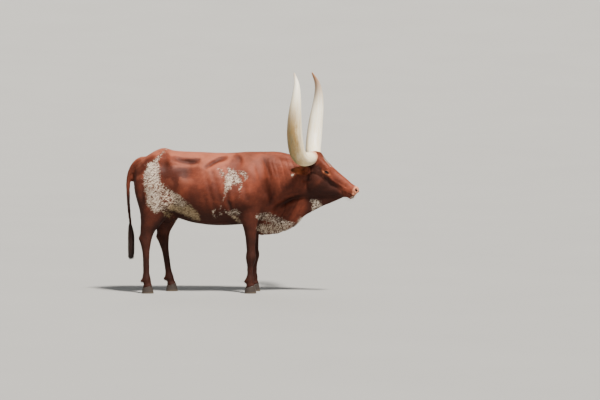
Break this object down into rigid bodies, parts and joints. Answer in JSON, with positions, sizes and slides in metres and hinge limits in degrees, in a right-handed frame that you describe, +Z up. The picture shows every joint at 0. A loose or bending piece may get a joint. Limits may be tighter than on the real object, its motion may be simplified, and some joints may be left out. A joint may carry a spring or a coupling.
{
  "type": "still life-size model of an ankole watusi cow, standing",
  "caption": "Standing long-horned cow as a still life-size model: body parted into head, neck, torso, legs, tail, ears, eyes, horns and claws.",
  "frame": {"origin": "on the floor, under the middle of the model's bounding box", "axes": "+X towards the muzzle, +Z up, the cow's right side faces -Y"},
  "size_m": [2.146, 1.0876, 2.0257],
  "materials": {
    "hide": "short flat chestnut coat with cream speckled patches",
    "horn": "ivory horn with faint rings, greenish stain and amber tips",
    "claw": "dark worn hoof horn",
    "eye": "wet dark brown",
    "switch_hair": "long dark brown hair"
  },
  "bodies": {
    "root": {"claw_fore_left_inner": "claw", "claw_fore_left_outer": "claw", "claw_fore_right_inner": "claw", "claw_fore_right_outer": "claw", "claw_hind_left_inner": "claw", "claw_hind_left_outer": "claw", "claw_hind_right_inner": "claw", "claw_hind_right_outer": "claw", "ear_left": "hide", "ear_right": "hide", "eye_left": "eye", "eye_right": "eye", "foreleg_left": "hide", "foreleg_right": "hide", "head": "hide", "hindleg_left": "hide", "hindleg_right": "hide", "horn_left": "horn", "horn_right": "horn", "neck": "hide", "tail": "hide", "tail_switch": "switch_hair", "torso": "hide", "udder": "hide"}
  },
  "joints": []
}
